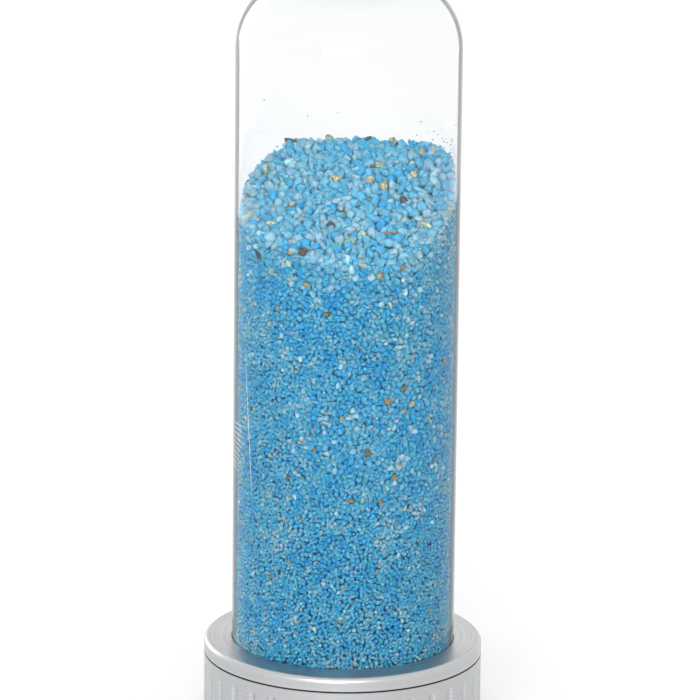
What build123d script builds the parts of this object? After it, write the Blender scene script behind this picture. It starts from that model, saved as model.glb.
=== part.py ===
"""A free-standing hourglass made of two straight-walled glass bulbs.

Each bulb is a thin tube with a rounded shoulder and a narrow neck.  The two necks meet at the
waist, where a split collar clamps their flanges over an orifice disc and two gaskets.  A threaded
ring is bonded round each open end, and a screw cap with a sealing liner and a foot pad closes it.
The hourglass stands on its bottom cap, and works either way up.

Units are millimetres.  +Z is up, the axis of the hourglass is the Z axis, and the origin is the
centre of the surface that it stands on.
"""
from build123d import *
import os
from math import acos, degrees, radians, sin, tan

# ---- driving dimensions -------------------------------------------------------------------
total_height = 300.0
bulb_radius = 20.0  # outside of the straight glass wall
glass_wall = 0.8

# glass neck and its flange
neck_radius = 7.2
neck_bore = 6.0
shoulder_radius = 13.0  # convex bend at the top of the straight wall
neck_bend_radius = 5.0  # concave bend from the shoulder into the neck
neck_length = 4.5  # straight neck below the flange
flange_radius = 9.5
flange_thickness = 2.0
flange_rounding = 0.6
lip_rounding = 0.3

# waist seal
gasket_thickness = 1.0
disc_thickness = 1.2
orifice_radius = 3.5

# split collar that clamps the waist
collar_radius = 14.5
collar_lip = 2.0
collar_neck_clearance = 0.8
collar_flange_clearance = 0.2
collar_split = 0.4
collar_rounding = 0.8
screw_radius = 1.25
screw_length = 12.0
screw_spread = 24.0  # between the two screw axes
screw_seat = 4.6  # from the split plane to the underside of the screw head
head_radius = 2.25
head_height = 2.5
socket_size = 1.15  # corner radius of the hexagon socket
socket_depth = 1.3
screw_clearance = 0.05
head_clearance = 0.25

# screw cap, liner and foot pad
cap_radius = 25.0
cap_bore = 23.2
cap_bottom = 0.5
cap_floor = 5.0
cap_top = 13.7
cap_rounding = 1.2
flute_count = 36
flute_radius = 0.9
flute_depth = 0.5
flute_low = 3.2
flute_high = 11.8
pad_radius = 21.0
pad_thickness = 1.5
pad_clearance = 0.2
pad_groove_radius = 14.0
pad_groove_width = 2.0
pad_groove_depth = 0.5
liner_radius = 22.2
liner_thickness = 1.0

# threaded ring that is bonded round each open end of the glass
ring_bond = 0.1
ring_radius = 21.8
ring_flange_low = 14.0
ring_flange_high = 16.5
ring_rounding = 0.9

# the thread that joins ring and cap: one raised bead on each
thread_pitch = 4.0
thread_base = 1.6
thread_crest = 0.8
thread_root_sink = 0.3
ring_thread_height = 0.9
ring_thread_start = 7.6
ring_thread_turns = 1.25
cap_thread_height = 1.0
cap_thread_start = 9.05
cap_thread_turns = 0.85
thread_lead_in = 60.0  # degrees from the X axis to where both beads begin

# sand that has run into the lower bulb
sand_level = 98.4  # height of its surface on the axis
sand_slope_front = 19.4  # degrees that the surface drops towards the front
sand_slope_left = 7.0  # degrees that it drops towards the left
sand_wall_gap = 0.1
sand_floor_gap = 0.3

# ---- worked out from them -----------------------------------------------------------------
waist_height = total_height / 2
glass_start = cap_floor + liner_thickness
flange_top = waist_height - disc_thickness / 2 - gasket_thickness
flange_bottom = flange_top - flange_thickness
bend_sum = shoulder_radius + neck_bend_radius
bend_angle = acos(1 - (bulb_radius - neck_radius) / bend_sum)
shoulder_start = flange_bottom - neck_length - bend_sum * sin(bend_angle)
bulb_bore = bulb_radius - glass_wall
bore_shoulder_radius = shoulder_radius - glass_wall
bore_bend_radius = neck_bend_radius + neck_radius - neck_bore
bore_bend_sum = bore_shoulder_radius + bore_bend_radius
bore_bend_angle = acos(1 - (bulb_bore - neck_bore) / bore_bend_sum)

# An end plane lies on the outer face of a cap, with its Z pointing into the hourglass.
bottom_end = Plane.XY
top_end = Plane(origin=(0, 0, total_height), x_dir=(1, 0, 0), z_dir=(0, 0, -1))


def section(end):
    """The plane through the axis: local X is the radius, local Y the distance from the end."""
    return Plane(origin=end.origin, x_dir=end.x_dir, z_dir=end.x_dir.cross(end.z_dir))


def end_axis(end):
    return Axis(end.origin, end.z_dir)


def make_bulb(end):
    """One glass bulb, open at its outer end."""
    with BuildPart() as bulb:
        with BuildSketch(section(end)) as wall:
            with BuildLine():
                outer_wall = Line((bulb_radius, glass_start), (bulb_radius, shoulder_start))
                outer_shoulder = JernArc(
                    outer_wall @ 1, outer_wall % 1, shoulder_radius, degrees(bend_angle)
                )
                outer_bend = JernArc(
                    outer_shoulder @ 1, outer_shoulder % 1, neck_bend_radius, -degrees(bend_angle)
                )
                Polyline(
                    outer_bend @ 1,
                    (neck_radius, flange_bottom),
                    (flange_radius, flange_bottom),
                    (flange_radius, flange_top),
                    (neck_bore, flange_top),
                )
                inner_wall = Line((bulb_bore, glass_start), (bulb_bore, shoulder_start))
                inner_shoulder = JernArc(
                    inner_wall @ 1, inner_wall % 1, bore_shoulder_radius, degrees(bore_bend_angle)
                )
                inner_bend = JernArc(
                    inner_shoulder @ 1, inner_shoulder % 1, bore_bend_radius, -degrees(bore_bend_angle)
                )
                Line(inner_bend @ 1, (neck_bore, flange_top))
                Line((bulb_bore, glass_start), (bulb_radius, glass_start))
            make_face()
            rim = wall.vertices().filter_by_position(Axis.X, flange_radius - 0.01, flange_radius + 0.01)
            fillet(rim, flange_rounding)
            lip = wall.vertices().group_by(Axis.Y)[0]
            fillet(lip, lip_rounding)
        revolve(axis=end_axis(end))
    return bulb


def make_thread(end, wall_radius, height, start, turns):
    """One helical bead on a round wall.  A negative height makes it stand inwards."""
    outward = 1 if height > 0 else -1
    with BuildLine() as path:
        Helix(
            pitch=thread_pitch,
            height=thread_pitch * turns,
            radius=wall_radius,
            center=end.origin + end.z_dir * start,
            direction=end.z_dir,
        )
    first = path.line @ 0
    radial = first - (end.origin + end.z_dir * start)
    with BuildPart() as bead:
        with BuildSketch(Plane(origin=first, x_dir=radial, z_dir=path.line % 0)):
            with BuildLine():
                Polyline(
                    (-outward * thread_root_sink, thread_base / 2),
                    (0, thread_base / 2),
                    (height, thread_crest / 2),
                    (height, -thread_crest / 2),
                    (0, -thread_base / 2),
                    (-outward * thread_root_sink, -thread_base / 2),
                    close=True,
                )
            make_face()
        sweep(path=path.line, is_frenet=True)
    return bead.part.rotate(end_axis(end), thread_lead_in)


def make_ring(end):
    """The threaded ring round the open end of a bulb, with a flange that meets the cap."""
    with BuildPart() as ring:
        with BuildSketch(section(end)) as profile:
            with BuildLine():
                Polyline(
                    (bulb_radius + ring_bond, glass_start),
                    (ring_radius, glass_start),
                    (ring_radius, ring_flange_low),
                    (cap_radius, ring_flange_low),
                    (cap_radius, ring_flange_high),
                    (bulb_radius + ring_bond, ring_flange_high),
                    close=True,
                )
            make_face()
            corner = profile.vertices().group_by(Axis.Y)[-1].sort_by(Axis.X)[-1]
            fillet(corner, ring_rounding)
        revolve(axis=end_axis(end))
        add(make_thread(end, ring_radius, ring_thread_height, ring_thread_start, ring_thread_turns))
    return ring


def make_cap(end):
    """The screw cap, with grip flutes, a recess for the foot pad and an inside thread."""
    with BuildPart() as cap:
        with BuildSketch(section(end)) as profile:
            with BuildLine():
                Polyline(
                    (0, pad_thickness),
                    (pad_radius + pad_clearance, pad_thickness),
                    (pad_radius + pad_clearance, cap_bottom),
                    (cap_radius, cap_bottom),
                    (cap_radius, cap_top),
                    (cap_bore, cap_top),
                    (cap_bore, cap_floor),
                    (0, cap_floor),
                    close=True,
                )
            make_face()
            rim = profile.vertices().group_by(Axis.X)[-1].sort_by(Axis.Y)
            fillet(rim[0], cap_rounding)
            fillet(rim[-1], cap_rounding / 4)
        revolve(axis=end_axis(end))
        with BuildSketch(end.offset(flute_low)):
            with PolarLocations(cap_radius + flute_radius - flute_depth, flute_count):
                Circle(flute_radius)
        extrude(amount=flute_high - flute_low, mode=Mode.SUBTRACT)
        add(make_thread(end, cap_bore, -cap_thread_height, cap_thread_start, cap_thread_turns))
    return cap


def make_liner(end):
    """The soft disc inside a cap that seals the end of the glass."""
    with BuildPart() as liner:
        with BuildSketch(end.offset(cap_floor)):
            Circle(liner_radius)
        extrude(amount=liner_thickness)
    return liner


def make_foot_pad(end):
    """The soft disc that the hourglass stands on, with one round groove in its face."""
    with BuildPart() as pad:
        with BuildSketch(end):
            Circle(pad_radius)
        extrude(amount=pad_thickness)
        fillet(pad.faces().sort_by(Axis(end.origin, end.z_dir))[0].edges(), lip_rounding)
        with BuildSketch(end):
            Circle(pad_groove_radius + pad_groove_width / 2)
            Circle(pad_groove_radius - pad_groove_width / 2, mode=Mode.SUBTRACT)
        extrude(amount=pad_groove_depth, mode=Mode.SUBTRACT)
    return pad


def make_gasket(bottom):
    """A flat ring between a glass flange and the orifice disc."""
    with BuildPart() as gasket:
        with BuildSketch(Plane.XY.offset(bottom)):
            Circle(flange_radius)
            Circle(neck_bore, mode=Mode.SUBTRACT)
        extrude(amount=gasket_thickness)
    return gasket


def make_collar_half(split_plane, keep):
    """Half of the waist collar: a ring with a groove that closes over both glass flanges."""
    groove_low = flange_bottom
    groove_high = total_height - flange_bottom
    lip_bore = neck_radius + collar_neck_clearance
    groove_radius = flange_radius + collar_flange_clearance
    with BuildPart() as half:
        with BuildSketch(Plane.XZ) as profile:
            with BuildLine():
                Polyline(
                    (lip_bore, groove_low - collar_lip),
                    (collar_radius, groove_low - collar_lip),
                    (collar_radius, groove_high + collar_lip),
                    (lip_bore, groove_high + collar_lip),
                    (lip_bore, groove_high),
                    (groove_radius, groove_high),
                    (groove_radius, groove_low),
                    (lip_bore, groove_low),
                    close=True,
                )
            make_face()
            fillet(profile.vertices().group_by(Axis.X)[-1], collar_rounding)
        revolve(axis=Axis.Z)
        front_face = Plane(origin=(0, -collar_radius, waist_height), x_dir=(1, 0, 0), z_dir=(0, -1, 0))
        with Locations(front_face):
            with GridLocations(screw_spread, 1, 2, 1):
                CounterBoreHole(
                    radius=screw_radius + screw_clearance,
                    counter_bore_radius=head_radius + head_clearance,
                    counter_bore_depth=collar_radius - screw_seat,
                )
        split(bisect_by=split_plane, keep=keep)
    return half


# ---- the glass bulbs ----------------------------------------------------------------------
lower_bulb = make_bulb(bottom_end)
upper_bulb = make_bulb(top_end)

# ---- the waist ----------------------------------------------------------------------------
with BuildPart() as orifice_disc:
    with BuildSketch(Plane.XY.offset(waist_height - disc_thickness / 2)):
        Circle(flange_radius)
        Circle(orifice_radius, mode=Mode.SUBTRACT)
    extrude(amount=disc_thickness)
    hole_edges = orifice_disc.edges().filter_by(GeomType.CIRCLE).sort_by(SortBy.RADIUS)[:2]
    chamfer(hole_edges, disc_thickness / 4)

lower_neck_gasket = make_gasket(flange_top)
upper_neck_gasket = make_gasket(waist_height + disc_thickness / 2)

collar_front = make_collar_half(Plane.XZ.offset(collar_split / 2), Keep.TOP)
collar_rear = make_collar_half(Plane.XZ.offset(-collar_split / 2), Keep.BOTTOM)

screw_seat_plane = Plane(origin=(0, -screw_seat, waist_height), x_dir=(1, 0, 0), z_dir=(0, -1, 0))
with BuildPart() as collar_screws:
    with BuildSketch(screw_seat_plane):
        with GridLocations(screw_spread, 1, 2, 1):
            Circle(head_radius)
    extrude(amount=head_height)
    chamfer(collar_screws.faces().sort_by(Axis.Y)[:2].edges(), lip_rounding)
    with BuildSketch(screw_seat_plane):
        with GridLocations(screw_spread, 1, 2, 1):
            Circle(screw_radius)
    extrude(amount=-screw_length)
    with BuildSketch(screw_seat_plane.offset(head_height)):
        with GridLocations(screw_spread, 1, 2, 1):
            RegularPolygon(socket_size, 6)
    extrude(amount=-socket_depth, mode=Mode.SUBTRACT)

# ---- the two ends -------------------------------------------------------------------------
bottom_ring = make_ring(bottom_end)
top_ring = make_ring(top_end)
bottom_cap = make_cap(bottom_end)
top_cap = make_cap(top_end)
bottom_liner = make_liner(bottom_end)
top_liner = make_liner(top_end)
bottom_foot_pad = make_foot_pad(bottom_end)
top_foot_pad = make_foot_pad(top_end)

# ---- the sand -----------------------------------------------------------------------------
sand_normal = (-tan(radians(sand_slope_left)), -tan(radians(sand_slope_front)), 1)
sand_top = Plane(origin=(0, 0, sand_level), z_dir=sand_normal)
with BuildPart() as sand_charge:
    with BuildSketch(Plane.XY.offset(glass_start + sand_floor_gap)):
        Circle(bulb_bore - sand_wall_gap)
    extrude(amount=shoulder_start - glass_start - sand_floor_gap)
    split(bisect_by=sand_top, keep=Keep.BOTTOM)

# ---- one STEP file for each piece ---------------------------------------------------------
pieces = {
    "lower_bulb": lower_bulb,
    "upper_bulb": upper_bulb,
    "orifice_disc": orifice_disc,
    "lower_neck_gasket": lower_neck_gasket,
    "upper_neck_gasket": upper_neck_gasket,
    "collar_front": collar_front,
    "collar_rear": collar_rear,
    "collar_screws": collar_screws,
    "bottom_ring": bottom_ring,
    "top_ring": top_ring,
    "bottom_cap": bottom_cap,
    "top_cap": top_cap,
    "bottom_liner": bottom_liner,
    "top_liner": top_liner,
    "bottom_foot_pad": bottom_foot_pad,
    "top_foot_pad": top_foot_pad,
    "sand_charge": sand_charge,
}
os.makedirs("parts", exist_ok=True)
for label, piece in pieces.items():
    piece.part.label = label
    export_step(piece.part, f"parts/{label}.step")
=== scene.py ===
"""The looks of the hourglass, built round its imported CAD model.

Lengths are metres.  The glass bulbs, their scratches and the sand are modelled here, and ride on
the CAD body that carries them.  The metal, rubber and foam pieces are the CAD's own shapes, with
materials.  The heights of the glass and the rings come from the CAD nodes' boxes.
"""
from math import acos, cos, degrees, exp, pi, radians, sin, sqrt

import bmesh
import bpy
import numpy as np
from mathutils import Matrix, Vector


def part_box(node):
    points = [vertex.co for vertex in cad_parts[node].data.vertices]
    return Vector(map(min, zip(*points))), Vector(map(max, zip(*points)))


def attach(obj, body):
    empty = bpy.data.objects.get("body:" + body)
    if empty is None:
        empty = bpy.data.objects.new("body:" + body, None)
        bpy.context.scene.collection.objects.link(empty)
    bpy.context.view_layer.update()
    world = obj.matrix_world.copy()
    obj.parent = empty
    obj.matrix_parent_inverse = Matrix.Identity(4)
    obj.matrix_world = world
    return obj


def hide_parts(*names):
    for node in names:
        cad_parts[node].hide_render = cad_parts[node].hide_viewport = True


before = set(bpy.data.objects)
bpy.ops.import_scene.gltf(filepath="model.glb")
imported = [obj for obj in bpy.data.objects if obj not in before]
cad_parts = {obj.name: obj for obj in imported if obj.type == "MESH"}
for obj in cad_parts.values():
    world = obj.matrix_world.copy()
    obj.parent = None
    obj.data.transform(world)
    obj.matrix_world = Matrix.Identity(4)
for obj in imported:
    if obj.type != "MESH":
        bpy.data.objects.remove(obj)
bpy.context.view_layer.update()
mm = 0.001

# ---- sizes taken from the CAD nodes --------------------------------------------------------
bulb_low, bulb_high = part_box("lower_bulb")
total_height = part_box("top_foot_pad")[1].z
bulb_radius = bulb_high.x
glass_start = bulb_low.z
flange_top = bulb_high.z
ring_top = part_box("bottom_ring")[1].z
sand_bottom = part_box("sand_charge")[0].z

# ---- sizes that the boxes don't give, as in the CAD model ----------------------------------
glass_wall = 0.8 * mm
bulb_bore = bulb_radius - glass_wall
neck_radius = 7.2 * mm
neck_bore = 6.0 * mm
shoulder_radius = 13.0 * mm
neck_bend_radius = 5.0 * mm
neck_length = 4.5 * mm
flange_radius = 9.5 * mm
flange_thickness = 2.0 * mm
sand_level = 97.5 * mm


# ============================================================================================
# helpers
# ============================================================================================
def mesh_object(name, vertices, faces):
    """A new mesh object from lists or arrays of points and faces."""
    mesh = bpy.data.meshes.new(name)
    mesh.from_pydata([tuple(v) for v in vertices], [], [tuple(f) for f in faces])
    mesh.validate()
    piece = bpy.data.objects.new(name, mesh)
    bpy.context.scene.collection.objects.link(piece)
    mesh.shade_smooth()
    return piece


def lathe(name, outline, segments):
    """A closed solid of revolution: outline is a loop of (radius, height) points."""
    points = np.array(outline)
    count = len(points)
    angles = np.arange(segments) * 2 * pi / segments
    vertices = np.stack(
        [
            np.outer(np.cos(angles), points[:, 0]),
            np.outer(np.sin(angles), points[:, 0]),
            np.tile(points[:, 1], (segments, 1)),
        ],
        axis=-1,
    ).reshape(-1, 3)
    faces = []
    for i in range(segments):
        j = (i + 1) % segments
        for k in range(count):
            n = (k + 1) % count
            faces.append((i * count + k, j * count + k, j * count + n, i * count + n))
    return mesh_object(name, vertices, faces)


def arc(centre, radius, start, end, steps):
    """Points on an arc in the (radius, height) plane; angles in degrees."""
    turn = np.radians(np.linspace(start, end, steps + 1))
    return [(centre[0] + radius * cos(a), centre[1] + radius * sin(a)) for a in turn]


def new_material(name):
    """A node material, with its nodes, its links and its Principled shader."""
    material = bpy.data.materials.new(name)
    material.use_nodes = True
    nodes = material.node_tree.nodes
    return material, nodes, material.node_tree.links, nodes["Principled BSDF"]


def dress(piece, material, body, slot, *replaced):
    """Gives a piece its material, its body and the CAD nodes it stands for; the slot argument is not used.
    """
    piece.data.materials.clear()
    piece.data.materials.append(material)
    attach(piece, body)
    if replaced:
        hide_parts(*replaced)
    return piece


# ============================================================================================
# materials
# ============================================================================================
def object_place(nodes):
    """The place on the object, in metres, so that a pattern keeps its real scale."""
    return nodes.new("ShaderNodeTexCoord").outputs["Object"]


def noise_texture(nodes, links, vector, scale, detail):
    """A noise's value, with scale in features to the metre."""
    texture = nodes.new("ShaderNodeTexNoise")
    texture.inputs["Scale"].default_value = scale
    texture.inputs["Detail"].default_value = detail
    links.new(vector, texture.inputs["Vector"])
    return texture.outputs["Fac"]


def colour_ramp(nodes, links, factor, low, dark, high, light):
    """A colour that goes from dark, where the factor is low, to light, where it is high."""
    ramp = nodes.new("ShaderNodeValToRGB")
    ramp.color_ramp.elements[0].position = low
    ramp.color_ramp.elements[0].color = (*dark, 1)
    ramp.color_ramp.elements[1].position = high
    ramp.color_ramp.elements[1].color = (*light, 1)
    links.new(factor, ramp.inputs["Fac"])
    return ramp.outputs["Color"]


def map_range(nodes, links, value, low, high):
    """Takes a noise's usual span onto low to high."""
    levels = nodes.new("ShaderNodeMapRange")
    levels.inputs["From Min"].default_value = 0.3
    levels.inputs["From Max"].default_value = 0.7
    levels.inputs["To Min"].default_value = low
    levels.inputs["To Max"].default_value = high
    links.new(value, levels.inputs["Value"])
    return levels.outputs["Result"]


def add_bump(nodes, links, shader, height, strength, distance):
    bump = nodes.new("ShaderNodeBump")
    bump.inputs["Strength"].default_value = strength
    bump.inputs["Distance"].default_value = distance
    links.new(height, bump.inputs["Height"])
    links.new(bump.outputs["Normal"], shader.inputs["Normal"])


def mottle_grain_colour(nodes, links, shader, pattern, darkest, lightest):
    """Base colour: each grain's own colour, made lighter and darker by a pattern."""
    colour = nodes.new("ShaderNodeAttribute")
    colour.attribute_name = "grain_colour"
    tint = nodes.new("ShaderNodeVectorMath")
    tint.operation = "SCALE"
    links.new(colour.outputs["Color"], tint.inputs[0])
    links.new(map_range(nodes, links, pattern, darkest, lightest), tint.inputs["Scale"])
    links.new(tint.outputs["Vector"], shader.inputs["Base Color"])


def glass_material(name, bending, darkens=False):
    """Thin clear glass that lets lamplight through; with darkens, it greys where seen edge on, a painted
    shade in place of the dark surroundings that glass shows at its edges.
    """
    clear_tint = (0.94, 0.945, 0.947)
    painted_edge_shade = (0.04, 0.04, 0.044)
    lamplight_tint = (0.96, 0.97, 0.97)
    skin_sheen = (0.8, 0.8, 0.8)
    bore_sheen = (0.5, 0.5, 0.5)
    material, nodes, links, shader = new_material(name)
    shader.inputs["Roughness"].default_value = 0.0
    shader.inputs["IOR"].default_value = bending
    shader.inputs["Specular Tint"].default_value = (*skin_sheen, 1) if darkens else (*bore_sheen, 1)
    shader.inputs["Transmission Weight"].default_value = 1.0
    shader.inputs["Base Color"].default_value = (*clear_tint, 1)
    if darkens:
        shader.inputs["Coat Weight"].default_value = 0.2
        # painted shade: the glass's colour goes dark grey where it is seen edge on
        edge = nodes.new("ShaderNodeLayerWeight")
        edge.inputs["Blend"].default_value = 0.5
        tint = colour_ramp(nodes, links, edge.outputs["Facing"], 0.705, clear_tint, 0.75, painted_edge_shade)
        links.new(tint, shader.inputs["Base Color"])
    path = nodes.new("ShaderNodeLightPath")
    clear = nodes.new("ShaderNodeBsdfTransparent")
    clear.inputs["Color"].default_value = (*lamplight_tint, 1)
    mix = nodes.new("ShaderNodeMixShader")
    links.new(path.outputs["Is Shadow Ray"], mix.inputs["Fac"])
    links.new(shader.outputs["BSDF"], mix.inputs[1])
    links.new(clear.outputs["BSDF"], mix.inputs[2])
    links.new(mix.outputs["Shader"], nodes["Material Output"].inputs["Surface"])
    return material


def grain_material():
    """Dyed quartz: each grain carries its own colour, clouded a little from inside."""
    material, nodes, links, shader = new_material("dyed_quartz")
    cloud = noise_texture(nodes, links, object_place(nodes), 2200.0, 2.0)
    mottle_grain_colour(nodes, links, shader, cloud, 0.86, 1.14)
    frosting = noise_texture(nodes, links, object_place(nodes), 4200.0, 3.0)
    add_bump(nodes, links, shader, frosting, 0.35, 0.08 * mm)
    shader.inputs["Roughness"].default_value = 0.48
    shader.inputs["Specular IOR Level"].default_value = 0.13
    shader.inputs["Subsurface Weight"].default_value = 1.0
    shader.inputs["Subsurface Radius"].default_value = (0.22, 0.85, 1.0)
    shader.inputs["Subsurface Scale"].default_value = 1.2 * mm
    return material


def stone_material():
    """Undyed stone: the colour of each piece, speckled light and dark, and rough."""
    material, nodes, links, shader = new_material("speckled_stone")
    speckle = noise_texture(nodes, links, object_place(nodes), 2600.0, 4.0)
    mottle_grain_colour(nodes, links, shader, speckle, 0.35, 1.9)
    shader.inputs["Roughness"].default_value = 0.6
    add_bump(nodes, links, shader, speckle, 0.8, 0.15 * mm)
    return material


def painted_gap_shade_material():
    """Quartz in the dark blue of the shade in the gaps between the outer grains: painted shade."""
    material, nodes, links, shader = new_material("painted_shade_quartz")
    # painted shade: colours of the gaps' shadow, darker than the sand's own blue
    dark_blue = (0.004, 0.10, 0.27)
    mid_blue = (0.008, 0.17, 0.40)
    spots = nodes.new("ShaderNodeTexVoronoi")
    spots.inputs["Scale"].default_value = 1300.0
    links.new(object_place(nodes), spots.inputs["Vector"])
    tint = colour_ramp(nodes, links, spots.outputs["Distance"], 0, dark_blue, 1, mid_blue)
    links.new(tint, shader.inputs["Base Color"])
    shader.inputs["Roughness"].default_value = 0.8
    return material


def scratch_material():
    """Glass bruised white, more in some places than in others."""
    material, nodes, links, shader = new_material("scratched_glass")
    breaks = noise_texture(nodes, links, object_place(nodes), 900.0, 2.0)
    tint = colour_ramp(nodes, links, breaks, 0.35, (0.74, 0.78, 0.82), 0.65, (0.95, 0.95, 0.95))
    links.new(tint, shader.inputs["Base Color"])
    shader.inputs["Roughness"].default_value = 0.45
    return material


def floor_material():
    """Matt white board with a faint grain."""
    material, nodes, links, shader = new_material("pale_floor")
    grain = noise_texture(nodes, links, object_place(nodes), 40.0, 2.0)
    tint = colour_ramp(nodes, links, grain, 0, (0.86, 0.86, 0.86), 1, (0.90, 0.90, 0.90))
    links.new(tint, shader.inputs["Base Color"])
    shader.inputs["Roughness"].default_value = 0.9
    shader.inputs["Specular IOR Level"].default_value = 0.1
    return material


def turned_metal(name, dark, light, smooth, rough, turned=True):
    """Metal with the fine rings that a lathe leaves about Z, or a plain fine grain, and smudges."""
    material, nodes, links, shader = new_material(name)
    shader.inputs["Metallic"].default_value = 1.0
    place = object_place(nodes)
    grain = place
    if turned:
        split = nodes.new("ShaderNodeSeparateXYZ")
        flat = nodes.new("ShaderNodeCombineXYZ")
        radius = nodes.new("ShaderNodeVectorMath")
        radius.operation = "LENGTH"
        ring = nodes.new("ShaderNodeCombineXYZ")
        links.new(place, split.inputs["Vector"])
        links.new(split.outputs["X"], flat.inputs["X"])
        links.new(split.outputs["Y"], flat.inputs["Y"])
        links.new(flat.outputs["Vector"], radius.inputs[0])
        links.new(radius.outputs["Value"], ring.inputs["X"])
        links.new(split.outputs["Z"], ring.inputs["Z"])
        grain = ring.outputs["Vector"]
    lines = noise_texture(nodes, links, grain, 4200.0, 3.0)
    smudges = noise_texture(nodes, links, place, 70.0, 4.0)
    links.new(colour_ramp(nodes, links, lines, 0.35, dark, 0.65, light), shader.inputs["Base Color"])
    links.new(map_range(nodes, links, smudges, smooth, rough), shader.inputs["Roughness"])
    add_bump(nodes, links, shader, lines, 0.35, 0.03 * mm)
    return material


def moulded(name, dark, light, rough, grain_scale, bump):
    """Rubber or plastic: a fine moulded grain over a slow drift of colour."""
    material, nodes, links, shader = new_material(name)
    place = object_place(nodes)
    drift = noise_texture(nodes, links, place, 120.0, 5.0)
    grain = noise_texture(nodes, links, place, grain_scale, 3.0)
    links.new(colour_ramp(nodes, links, drift, 0.3, dark, 0.7, light), shader.inputs["Base Color"])
    links.new(map_range(nodes, links, grain, rough - 0.08, rough + 0.08), shader.inputs["Roughness"])
    add_bump(nodes, links, shader, grain, 0.4, bump)
    return material


def dress_cad_nodes():
    """Materials for the CAD pieces that are shown as they are."""
    anodised = turned_metal("anodised_aluminium", (0.43, 0.435, 0.44), (0.57, 0.575, 0.58), 0.28, 0.42)
    brushed = turned_metal("brushed_steel", (0.42, 0.42, 0.42), (0.58, 0.58, 0.575), 0.24, 0.38)
    screw = turned_metal("screw_steel", (0.36, 0.36, 0.37), (0.52, 0.52, 0.53), 0.22, 0.36, turned=False)
    silicone = moulded("clear_silicone", (0.62, 0.63, 0.63), (0.72, 0.73, 0.73), 0.5, 2500.0, 0.01 * mm)
    rubber = moulded("foot_rubber", (0.028, 0.029, 0.031), (0.05, 0.051, 0.053), 0.68, 3200.0, 0.03 * mm)
    foam = moulded("liner_foam", (0.72, 0.73, 0.72), (0.82, 0.82, 0.80), 0.6, 1800.0, 0.04 * mm)
    finishes = {
        anodised: ("bottom_ring", "top_ring", "bottom_cap", "top_cap", "collar_front", "collar_rear"),
        brushed: ("orifice_disc",),
        screw: ("collar_screws",),
        silicone: ("lower_neck_gasket", "upper_neck_gasket"),
        rubber: ("bottom_foot_pad", "top_foot_pad"),
        foam: ("bottom_liner", "top_liner"),
    }
    for material, names in finishes.items():
        for name in names:
            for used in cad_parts[name].material_slots:
                used.material = material


dress_cad_nodes()


# ============================================================================================
# glass
# ============================================================================================
def bulb_outline():
    """The loop of (radius, height) points of the lower bulb's wall."""
    bend_sum = shoulder_radius + neck_bend_radius
    bend = degrees(acos(1 - (bulb_radius - neck_radius) / bend_sum))
    flange_bottom = flange_top - flange_thickness
    shoulder_start = flange_bottom - neck_length - bend_sum * sin(radians(bend))
    bore_shoulder = shoulder_radius - glass_wall
    bore_bend = neck_bend_radius + neck_radius - neck_bore
    bore_angle = degrees(acos(1 - (bulb_bore - neck_bore) / (bore_shoulder + bore_bend)))
    bend_height = shoulder_start + bend_sum * sin(radians(bend))
    bore_height = shoulder_start + (bore_shoulder + bore_bend) * sin(radians(bore_angle))
    lip = glass_wall / 2
    rim = 0.6 * mm
    levels = np.linspace(glass_start + lip, shoulder_start, 140)
    outer = [(bulb_radius, z) for z in levels[1:-1]]
    outer += arc((bulb_radius - shoulder_radius, shoulder_start), shoulder_radius, 0, bend, 20)
    outer += arc((neck_radius + neck_bend_radius, bend_height), neck_bend_radius, 180 + bend, 180, 12)[1:]
    outer += arc((neck_radius + rim, flange_bottom - rim), rim, 180, 90, 4)
    outer += arc((flange_radius - rim, flange_bottom + rim), rim, -90, 0, 5)
    outer += arc((flange_radius - rim, flange_top - rim), rim, 0, 90, 5)
    inner = arc((neck_bore + rim / 2, flange_top - rim / 2), rim / 2, 90, 180, 4)
    inner += arc((neck_bore + bore_bend, bore_height), bore_bend, 180, 180 + bore_angle, 12)
    inner += arc((bulb_bore - bore_shoulder, shoulder_start), bore_shoulder, bore_angle, 0, 20)[1:]
    inner += [(bulb_bore, z) for z in levels[-2:0:-1]]
    inner += arc((bulb_radius - lip, glass_start + lip), lip, 180, 360, 8)
    return outer + inner


def turned_over(outline):
    """The same outline at the other end of the hourglass."""
    return [(r, total_height - z) for r, z in outline][::-1]


# ============================================================================================
# sand
# ============================================================================================
sand_reach = bulb_bore - 0.04 * mm  # outermost that a grain may lie
heap_middle = sand_level + 1.2 * mm
heap_waves = [  # rise at the rim in mm, crests round the rim, and their phase in degrees
    (7.4, 1, 79),
    (1.55, 2, 32),
    (1.0, 3, 31),
]
rim_bumps = [  # heading and width in degrees round from +X, then the rise in mm
    (118, 14, 1.3),
    (12, 18, 1.0),
    (176, 14, -0.9),
]
stray_stones = [  # share of the grains up to and with this stone, then its linear colour
    (0.0025, (0.33, 0.235, 0.12)),
    (0.0080, (0.36, 0.42, 0.33)),
    (0.0087, (0.14, 0.10, 0.07)),
    (0.0095, (0.05, 0.07, 0.09)),
    (0.0370, (0.29, 0.48, 0.58)),
]


def degrees_between(turn, heading):
    """How far an angle in radians lies from a heading in degrees, in degrees from -180 to 180."""
    return (np.degrees(turn) - heading + 180) % 360 - 180


def sand_height(x, y):
    """Height of the heap's surface over a point, in metres: tilted, saddled and a little lumpy."""
    across = np.hypot(x, y) / sand_reach
    around = np.arctan2(y, x)
    height = heap_middle
    for rise, crests, phase in heap_waves:
        height = height + rise * mm * across**crests * np.cos(crests * around - radians(phase))
    lumps = 0.35 * mm * np.sin(x * 420 + 1.0) * np.cos(y * 350 + 0.4)
    for heading, width, rise in rim_bumps:
        aside = degrees_between(around, heading)
        lumps = lumps + rise * mm * across**4 * np.exp(-((aside / width) ** 2))
    return height + lumps


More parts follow.
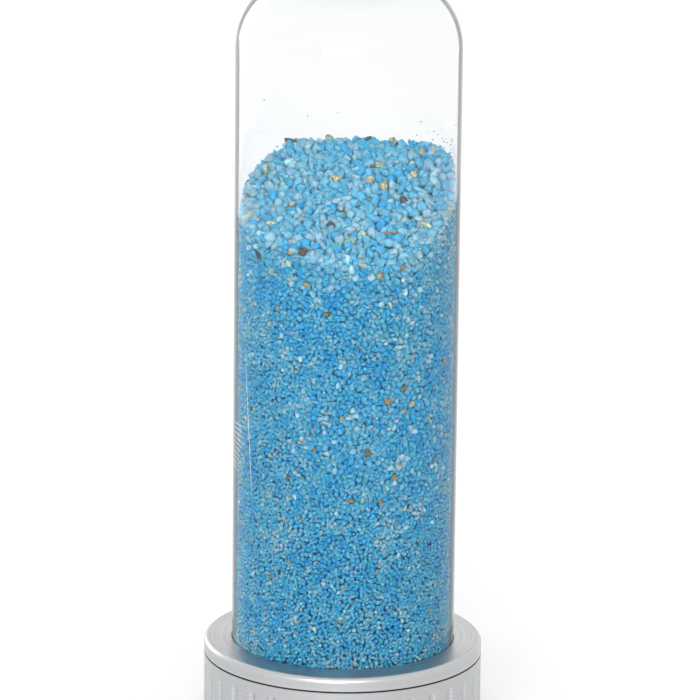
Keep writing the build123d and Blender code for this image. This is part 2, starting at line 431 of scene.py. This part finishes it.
def grain_shapes(rng, count, divisions):
    """Blocky pebbles of unit radius: little spheres with flats cut on them at random."""
    roughness = 0.06
    flats = 9
    ball = bmesh.new()
    bmesh.ops.create_icosphere(ball, subdivisions=divisions, radius=1.0)
    points = np.array([v.co for v in ball.verts])
    faces = np.array([[v.index for v in f.verts] for f in ball.faces])
    ball.free()
    shapes = []
    for _ in range(count):
        shape = points * (1 + rng.normal(0, roughness, (len(points), 1)))
        for _ in range(flats):
            normal = rng.normal(size=3)
            normal /= np.linalg.norm(normal)
            beyond = shape @ normal - rng.uniform(0.50, 0.82)
            shape -= np.clip(beyond, 0, None)[:, None] * normal
        shape -= shape.mean(0)
        shape /= np.linalg.norm(shape, axis=1).mean()
        shapes.append(shape)
    return np.array(shapes), faces


def turns(rng, count):
    """Random rotation matrices."""
    q = rng.normal(size=(count, 4))
    q /= np.linalg.norm(q, axis=1)[:, None]
    w, x, y, z = q.T
    return np.stack(
        [
            np.stack([1 - 2 * (y * y + z * z), 2 * (x * y - z * w), 2 * (x * z + y * w)], -1),
            np.stack([2 * (x * y + z * w), 1 - 2 * (x * x + z * z), 2 * (y * z - x * w)], -1),
            np.stack([2 * (x * z - y * w), 2 * (y * z + x * w), 1 - 2 * (x * x + y * y)], -1),
        ],
        -2,
    )


def pack_flat(rng, sizes, width, height, closeness, largest=None):
    """Scatters discs over a rectangle, biggest first, each clear of its neighbours.

    With largest, a function of the place that gives the biggest radius allowed there, the
    rectangle is a wall's, and its left and right edges meet.
    """
    tries = 14
    wraps = largest is not None
    cell = sizes.max() * 2
    columns = max(3, int(width / cell))
    column_width = width / columns
    grid = {}
    placed = []

    def cell_of(u, v):
        return int(u / column_width), int(v / cell)

    def neighbours(u, v):
        """The discs placed in the cell of a point and in the eight round it."""
        i, j = cell_of(u, v)
        for di in (-1, 0, 1):
            column = (i + di) % columns if wraps else i + di
            for dj in (-1, 0, 1):
                yield from grid.get((column, j + dj), ())

    def is_free(u, v, radius):
        for other_u, other_v, other_radius in neighbours(u, v):
            du = abs(u - other_u)
            if wraps:
                du = min(du, width - du)
            if du * du + (v - other_v) ** 2 < (closeness * (radius + other_radius)) ** 2:
                return False
        return True

    for radius in np.sort(sizes)[::-1]:
        for u, v in rng.uniform((0, 0), (width, height), (tries, 2)):
            if wraps and radius > largest(u, v):
                continue
            if is_free(u, v, radius):
                grid.setdefault(cell_of(u, v), []).append((u, v, radius))
                placed.append((u, v, radius))
                break
    return np.array(placed)


def patches(centres, size):
    """A smooth random field of unit strength over the places given, with patches of about a size."""
    waves = 30
    rng = np.random.default_rng(7)
    field = np.zeros(len(centres))
    for _ in range(waves):
        heading = rng.normal(size=3)
        heading *= pi / (size * np.linalg.norm(heading) * rng.uniform(0.7, 1.6))
        field += np.sin(centres @ heading + rng.uniform(0, 2 * pi))
    return field / sqrt(waves / 2)


def grain_colours(rng, centres, radii):
    """Linear colours: pale to deep blue dye, and a few stray grains, most of them coarse ones."""
    count = len(centres)
    deep = np.array((0.008, 0.233, 0.600))
    pale = np.array((0.435, 0.460, 0.515))
    x, y, z = centres.T
    below = np.clip((sand_height(x, y) - z) / (6.5 * mm), 0, 1)
    drift = 0.080 * patches(centres, 1.5 * mm) + 0.045 * patches(centres, 6.0 * mm)
    dye = 0.285 + 0.185 * below + drift * (0.5 + 0.5 * below) + rng.normal(0, 0.130, count)
    dye = np.clip(dye, 0.13, 0.80)[:, None]
    colour = pale ** (1 - dye) * deep**dye
    colour *= rng.normal(1.0, 0.03, (count, 1))
    yellowed = rng.random(count) < 0.035
    colour[yellowed] *= (1.18, 1.02, 0.88)
    stray = rng.random(count) * (np.median(radii) / radii) ** 2
    for share, shade in stray_stones:
        chosen = (stray < share) & (stray >= 0)
        colour[chosen] = np.array(shade) * rng.normal(1.0, 0.15, (chosen.sum(), 1))
        stray[chosen] = -1
    return np.clip(colour, 0.01, 0.95)


def grain_mesh(name, shapes, faces, rng, centres, radii, colours, squeeze=0.17):
    """One mesh of many separate grains, with their colours and a map cell for each."""
    count, corners = len(centres), shapes.shape[1]
    stretch = rng.normal(1.0, squeeze, (count, 1, 3)).clip(0.6, 1.5)
    stretch /= np.cbrt(stretch.prod(axis=2, keepdims=True))
    chosen = shapes[rng.integers(0, len(shapes), count)]
    local = (chosen * stretch) @ turns(rng, count).transpose(0, 2, 1)
    points = (local * radii[:, None, None] + centres[:, None, :]).reshape(-1, 3)
    all_faces = (faces[None] + (np.arange(count) * corners)[:, None, None]).reshape(-1, 3)
    mesh = bpy.data.meshes.new(name)
    mesh.vertices.add(len(points))
    mesh.vertices.foreach_set("co", points.astype(np.float32).ravel())
    mesh.loops.add(all_faces.size)
    mesh.loops.foreach_set("vertex_index", all_faces.astype(np.int32).ravel())
    mesh.polygons.add(len(all_faces))
    mesh.polygons.foreach_set("loop_start", np.arange(0, all_faces.size, 3, dtype=np.int32))
    mesh.update(calc_edges=True)
    mesh.shade_smooth()
    colours = np.repeat(colours, corners, axis=0)
    paint = mesh.attributes.new("grain_colour", "FLOAT_COLOR", "POINT")
    paint.data.foreach_set("color", np.c_[colours, np.ones(len(colours))].astype(np.float32).ravel())
    cells = int(np.ceil(sqrt(count)))
    corner = np.stack([np.arange(count) % cells, np.arange(count) // cells], -1) + 0.5
    spread = 0.32 * chosen[:, :, :2] / np.abs(chosen[:, :, :2]).max()
    uv = ((corner[:, None, :] + spread) / cells).reshape(-1, 2)
    layer = mesh.uv_layers.new(name="OFBake")
    layer.data.foreach_set("uv", uv[all_faces.ravel()].astype(np.float32).ravel())
    piece = bpy.data.objects.new(name, mesh)
    bpy.context.scene.collection.objects.link(piece)
    return piece


def wall_layer(rng, count, median, depth, closeness):
    """Centres and radii of the grains in one layer behind the glass, coarser near the surface."""
    low = ring_top - 2.0 * mm  # hidden behind the threaded ring
    high = sand_level + 11.0 * mm  # over the heap's highest point

    def largest(u, v):
        """The biggest radius allowed: more near the surface, and in a coarse pocket below it."""
        angle = u / sand_reach
        below = sand_height(sand_reach * cos(angle), sand_reach * sin(angle)) - low - v
        pocket = 0.30 * mm * exp(-((below - 32 * mm) / (14 * mm)) ** 2) * max(0, cos(angle + 0.75))
        crust = 0.75 * mm * exp(-max(below, 0) / (6 * mm))
        return 0.44 * mm + pocket + crust

    sizes = np.clip(median * np.exp(rng.normal(0, 0.36, count)), 0.38 * mm, 2.2 * mm) / 2
    spot = pack_flat(rng, sizes, 2 * pi * sand_reach, high - low, closeness, largest)
    angle = spot[:, 0] / sand_reach
    height = low + spot[:, 1]
    radius = spot[:, 2]
    inset = sand_reach - depth - radius * rng.uniform(0.90, 1.25, len(spot))
    x, y = inset * np.cos(angle), inset * np.sin(angle)
    under = height < sand_height(x, y) - radius * 0.5
    return np.stack([x, y, height], -1)[under], radius[under]


def surface_layer(rng, count, median, depth):
    """Centres and radii of the grains in one layer on top of the heap."""
    sizes = np.clip(median * np.exp(rng.normal(0, 0.36, count)), 0.55 * mm, 2.0 * mm) / 2
    side = 2 * sand_reach
    spot = pack_flat(rng, sizes, side, side, 0.80)
    x, y, radius = spot[:, 0] - side / 2, spot[:, 1] - side / 2, spot[:, 2]
    inside = np.hypot(x, y) < sand_reach - radius * 0.95
    x, y, radius = x[inside], y[inside], radius[inside]
    z = sand_height(x, y) - depth - radius * rng.uniform(0.4, 1.1, len(x))
    return np.stack([x, y, z], -1), radius


def build_bulbs():
    """Each bulb's outer skin, its bore, and the part of the bore that sand is pressed against."""
    # the outer skin carries the painted shade at its edges
    skin = glass_material("clear_glass", 1.2, darkens=True)
    bore = glass_material("clear_glass_bore", 1.2)
    sanded = glass_material("clear_glass_sanded", 1.01)
    outline = bulb_outline()
    for name, node, loop in (
        ("glass_lower_bulb", "lower_bulb", outline),
        ("glass_upper_bulb", "upper_bulb", turned_over(outline)),
    ):
        bulb = dress(lathe(name, loop, segments=192), skin, "glass", "clear_glass", node)
        bulb.data.materials.append(bore)
        bulb.data.materials.append(sanded)
        for face in bulb.data.polygons:
            x, y, z = face.center
            if face.normal.x * x + face.normal.y * y < 0:
                under_sand = z < sand_height(x, y) - 1.0 * mm
                face.material_index = 2 if under_sand else 1


def build_sand():
    """The loose grains: three layers behind the glass, three on the heap, stones and dust."""
    rng = np.random.default_rng(20)
    fine, fine_faces = grain_shapes(rng, 40, 2)
    coarse, coarse_faces = grain_shapes(rng, 40, 1)
    quartz = grain_material()
    layers = [  # label, shapes, faces, then the grains' centres and radii
        ("front", fine, fine_faces, wall_layer(rng, 28000, 0.70 * mm, 0.0, 0.82)),
        ("middle", fine, fine_faces, wall_layer(rng, 14000, 0.85 * mm, 0.30 * mm, 0.84)),
        ("back", coarse, coarse_faces, wall_layer(rng, 9000, 1.05 * mm, 0.75 * mm, 0.80)),
        ("top", fine, fine_faces, surface_layer(rng, 2600, 1.15 * mm, 0.0)),
        ("under", fine, fine_faces, surface_layer(rng, 2000, 1.15 * mm, 0.6 * mm)),
        ("deep", coarse, coarse_faces, surface_layer(rng, 900, 1.40 * mm, 1.5 * mm)),
    ]
    most_faces = 190000  # in one piece
    for label, shapes, faces, (centres, radii) in layers:
        share = most_faces // len(faces)
        order = np.argsort(np.arctan2(centres[:, 1], centres[:, 0]))
        parts = int(np.ceil(len(order) / share))
        for n, some in enumerate(np.array_split(order, parts)):
            name = f"sand_{label}_{n + 1}"
            colours = grain_colours(rng, centres[some], radii[some])
            piece = grain_mesh(name, shapes, faces, rng, centres[some], radii[some], colours)
            dress(piece, quartz, "glass", "blue_sand")
    build_stones(rng, fine, fine_faces)
    build_fines(rng, coarse, coarse_faces, quartz)


def build_stones(rng, shapes, faces):
    """The few grains of other stone that lie on the heap, and a splinter of brown shale."""
    material = stone_material()
    charcoal = (0.050, 0.055, 0.060)
    umber = (0.085, 0.060, 0.050)
    olive = (0.230, 0.270, 0.190)
    tan = (0.330, 0.290, 0.190)
    lime = (0.270, 0.360, 0.260)
    stones = [  # x, y and radius in mm, then the shade
        (-17.6, 0.5, 0.75, umber),
        (-14.2, 3.8, 0.60, charcoal),
        (-10.5, 15.2, 0.80, umber),
        (3.5, 17.8, 0.75, charcoal),
        (8.8, 14.5, 0.45, charcoal),
        (10.0, -3.5, 0.85, charcoal),
        (-2.8, -9.2, 0.65, charcoal),
        (-7.5, -17.2, 0.80, umber),
        (-3.0, 17.9, 0.95, olive),
        (5.8, 7.2, 0.85, olive),
        (8.0, 17.0, 0.75, olive),
        (-9.8, -3.0, 0.65, tan),
        (-2.0, 4.5, 0.85, tan),
        (4.0, 3.0, 0.80, tan),
        (6.5, 0.8, 0.80, tan),
        (11.8, 2.5, 0.70, tan),
        (13.4, 9.0, 0.75, tan),
        (15.6, 8.2, 0.80, tan),
        (13.5, -10.0, 0.95, lime),
        (-14.8, 8.5, 0.85, lime),
        (-13.0, -8.5, 0.80, lime),
        (0.5, -13.5, 0.90, lime),
    ]
    places = np.array([s[:3] for s in stones]) * mm
    x, y, radius = places.T
    centres = np.stack([x, y, sand_height(x, y) - 0.25 * radius], -1)
    colours = np.array([s[3] for s in stones])
    piece = grain_mesh("sand_stones", shapes, faces, rng, centres, radius, colours, squeeze=0.30)
    dress(piece, material, "glass", "blue_sand")

    shard = shapes[0] * np.array((1.15, 0.24, 0.20)) * mm
    x, y = 7.8 * mm, -12.0 * mm
    shard += (x, y, float(sand_height(x, y)) + 0.35 * mm)
    splinter = mesh_object("sand_splinter", shard, faces)
    brown = np.tile((0.26, 0.13, 0.06, 1.0), (len(shard), 1))
    paint = splinter.data.attributes.new("grain_colour", "FLOAT_COLOR", "POINT")
    paint.data.foreach_set("color", brown.ravel())
    dress(splinter, material, "glass", "blue_sand")


def build_fines(rng, shapes, faces, material):
    """Sand dust that clings to the bore above the heap, most of it on the side it was poured from."""
    count = 110
    poured_side = rng.random(count) < 0.85
    angle = np.where(poured_side, rng.normal(-0.72, 0.38, count), rng.uniform(0, 2 * pi, count))
    radius = rng.uniform(0.05, 0.15, count) * mm
    reach = bulb_bore - radius * 0.8
    x, y = reach * np.cos(angle), reach * np.sin(angle)
    z = sand_level + (2.0 + 19.0 * rng.beta(1.3, 2.0, count)) * mm
    above = z > sand_height(x, y) + 0.5 * mm
    centres = np.stack([x, y, z], -1)[above]
    colours = rng.uniform((0.03, 0.05, 0.07), (0.16, 0.17, 0.18), (count, 3))[above]
    piece = grain_mesh("sand_fines", shapes, faces, rng, centres, radius[above], colours)
    dress(piece, material, "glass", "blue_sand")


def build_sand_core():
    """The closed heap behind the outer grains, painted in the dark blue of the shade in their gaps."""
    core_radius = sand_reach - 1.5 * mm
    core_depth = 2.4 * mm  # under the heap's surface
    rings = np.linspace(0, 1, 16)[1:]
    segments = 96
    angles = np.arange(segments) * 2 * pi / segments
    points = [(0, 0, float(sand_height(0, 0)) - core_depth)]
    for share in rings:
        for a in angles:
            x, y = core_radius * share * cos(a), core_radius * share * sin(a)
            points.append((x, y, float(sand_height(x, y)) - core_depth))
    for a in angles:
        points.append((core_radius * cos(a), core_radius * sin(a), sand_bottom))
    points.append((0, 0, sand_bottom))
    faces = [(0, 1 + i, 1 + (i + 1) % segments) for i in range(segments)]
    for k in range(len(rings)):
        for i in range(segments):
            j = (i + 1) % segments
            a, b = 1 + k * segments, 1 + (k + 1) * segments
            faces.append((a + i, b + i, b + j, a + j))
    last = len(points) - 1
    a = 1 + len(rings) * segments
    faces += [(last, a + (i + 1) % segments, a + i) for i in range(segments)]
    core = mesh_object("sand_core", points, faces)
    # the core carries painted shade, not the sand's own colour
    dress(core, painted_gap_shade_material(), "glass", "blue_sand", "sand_charge")


build_bulbs()
build_sand()
build_sand_core()


# ============================================================================================
# scratches on the lower bulb
# ============================================================================================
def scratch(start, end, bow):
    """A shallow groove's raised lip along the glass, from (degrees round, mm up) to another."""
    steps = 24
    width = 0.058 * mm
    proud = 0.03 * mm
    points = []
    for k in range(steps + 1):
        t = k / steps
        turn = radians(start[0] + (end[0] - start[0]) * t)
        height = (start[1] + (end[1] - start[1]) * t + bow * sin(pi * t)) * mm
        taper = 0.25 + 0.75 * sin(pi * t)
        middle = Vector((bulb_radius * cos(turn), bulb_radius * sin(turn), height))
        outward = Vector((cos(turn), sin(turn), 0))
        slope = Vector((-sin(turn), cos(turn), 0)) * radians(end[0] - start[0]) * bulb_radius
        along = (slope + Vector((0, 0, (end[1] - start[1]) * mm))).normalized()
        side = along.cross(outward) * width * taper
        points += [middle + side, middle + outward * proud * taper, middle - side, middle - outward * proud]
    return points


def build_scratches():
    """One long scratch down the glass, and a row of short ones across it."""
    long_one = ((207.5, 72), (215, 46), 0.6)
    short_ones = [((188, 57.2 - 0.85 * k), (209 - 1.1 * k, 57.6 - 0.98 * k), 0.15) for k in range(10)]
    vertices, faces = [], []
    for start, end, bow in [long_one, *short_ones]:
        base = len(vertices)
        points = scratch(start, end, bow)
        vertices += points
        for k in range(len(points) // 4 - 1):
            for c in range(4):
                a, b = base + 4 * k + c, base + 4 * k + (c + 1) % 4
                faces.append((a, b, b + 4, a + 4))
        last = len(vertices) - 4
        faces += [(base + 3, base + 2, base + 1, base), (last, last + 1, last + 2, last + 3)]
    marks = mesh_object("glass_scratches", vertices, faces)
    dress(marks, scratch_material(), "glass", "clear_glass")


build_scratches()


# ============================================================================================
# stage, lights and camera
# ============================================================================================
def build_floor():
    """A wide plain floor, level with the foot pad's underside."""
    reach = 3.0
    corners = [(-reach, -reach, 0), (reach, -reach, 0), (reach, reach, 0), (-reach, reach, 0)]
    floor = mesh_object("floor", corners, [(0, 1, 2, 3)])
    floor.data.materials.append(floor_material())


def area_light(name, place, aim, size, watts):
    """A soft box, with its width and height in size, that faces a point."""
    lamp = bpy.data.lights.new(name, "AREA")
    lamp.shape = "RECTANGLE"
    lamp.size, lamp.size_y = size
    lamp.energy = watts
    item = bpy.data.objects.new(name, lamp)
    item.location = place
    item.rotation_euler = (Vector(aim) - Vector(place)).to_track_quat("-Z", "Y").to_euler()
    bpy.context.scene.collection.objects.link(item)


def build_lights():
    """An even white studio, a soft key from the front and a weak rim light from behind."""
    world = bpy.data.worlds.new("studio")
    world.use_nodes = True
    world.node_tree.nodes["Background"].inputs["Color"].default_value = (0.99, 0.995, 1.0, 1)
    world.node_tree.nodes["Background"].inputs["Strength"].default_value = 1.12
    bpy.context.scene.world = world
    area_light("key", (-0.20, -1.45, 0.45), (0, 0, 0.08), (1.0, 0.6), 12.6)
    area_light("rim", (-0.72, 0.85, 0.25), (0, 0, 0.08), (0.5, 0.6), 2.0)
    bpy.context.scene.view_settings.view_transform = "Standard"


def build_camera():
    """A long lens in front of the hourglass, that looks a little down on the sand."""
    elevation = radians(15.0)
    tilt = radians(0.65)
    distance = 0.95
    target = Vector((0.73 * mm, 0, 69.7 * mm))
    data = bpy.data.cameras.new("camera")
    data.sensor_width = 36.0
    data.lens = 274.5
    data.clip_start = 0.01
    camera = bpy.data.objects.new("camera", data)
    camera.location = target + distance * Vector((0, -cos(elevation), sin(elevation)))
    aim = (target - camera.location).to_track_quat("-Z", "Y").to_matrix()
    roll = Matrix.Rotation(tilt, 3, "Z")
    camera.rotation_euler = (aim @ roll).to_euler()
    bpy.context.scene.collection.objects.link(camera)
    bpy.context.scene.camera = camera


build_floor()
build_lights()
build_camera()
